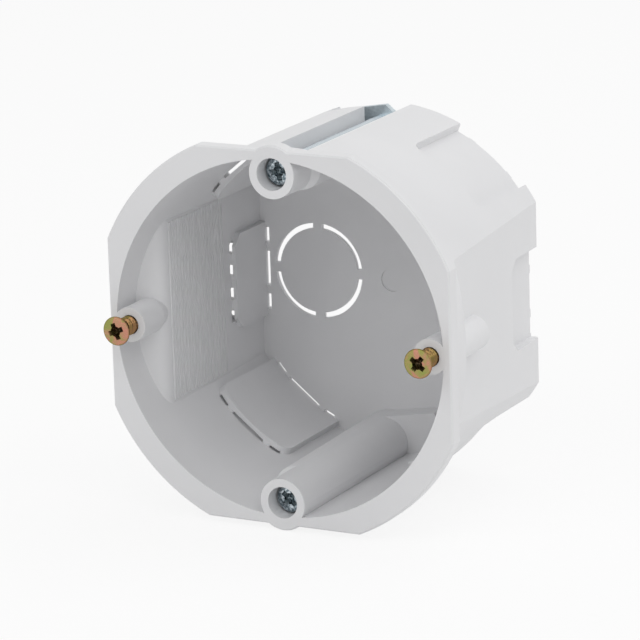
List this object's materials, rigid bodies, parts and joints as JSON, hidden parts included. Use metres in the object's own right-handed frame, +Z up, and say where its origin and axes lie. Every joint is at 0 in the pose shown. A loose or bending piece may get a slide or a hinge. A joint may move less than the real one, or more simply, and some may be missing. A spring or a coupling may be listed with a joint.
{
  "type": "round plasterboard back box",
  "caption": "Round moulded back box for a hollow wall, with a flat-sided rim, cable knock-outs, swing-out steel claws and screws for a wiring device.",
  "frame": {"origin": "centre of the rim's front face, midway between the two device screws and between the two claw screws", "axes": "+Y runs into the wall along the box's axis, +X runs to the right along the line of the device screws as seen from the room, +Z is up along the line of the claw screws"},
  "size_m": [0.068, 0.0527, 0.0704],
  "materials": {
    "moulding": "fine matt moulded polypropylene",
    "device_screw": "yellow passivated steel with a rainbow tint",
    "claw_screw": "bright zinc plated steel",
    "claw": "zinc plated sheet steel"
  },
  "bodies": {
    "box": {"back_box": "moulding"},
    "device_screw_right": {"device_screw_right": "device_screw"},
    "device_screw_left": {"device_screw_left": "device_screw"},
    "claw_screw_top": {"claw_screw_top": "claw_screw"},
    "claw_screw_bottom": {"claw_screw_bottom": "claw_screw"},
    "claw_top": {"claw_top": "claw"},
    "claw_bottom": {"claw_bottom": "claw"}
  },
  "joints": [
    {"name": "device_screw_right_drive", "type": "slide", "parent": "box", "child": "device_screw_right", "axis": [0, 1, 0], "range_m": [-0.008, 0.0036]},
    {"name": "device_screw_left_drive", "type": "slide", "parent": "box", "child": "device_screw_left", "axis": [0, 1, 0], "range_m": [-0.008, 0.0036]},
    {"name": "claw_screw_top_turn", "type": "hinge", "parent": "box", "child": "claw_screw_top", "pos_m": [0, 0.0045, 0.03], "axis": [0, 1, 0], "continuous": true},
    {"name": "claw_screw_bottom_turn", "type": "hinge", "parent": "box", "child": "claw_screw_bottom", "pos_m": [0, 0.0045, -0.03], "axis": [0, 1, 0], "continuous": true},
    {"name": "claw_top_swing", "type": "hinge", "parent": "box", "child": "claw_top", "pos_m": [0, 0.0445, 0.03], "axis": [0, 1, 0], "range_deg": [0, 99.5]},
    {"name": "claw_bottom_swing", "type": "hinge", "parent": "box", "child": "claw_bottom", "pos_m": [0, 0.0445, -0.03], "axis": [0, 1, 0], "range_deg": [0, 99.5]}
  ]
}
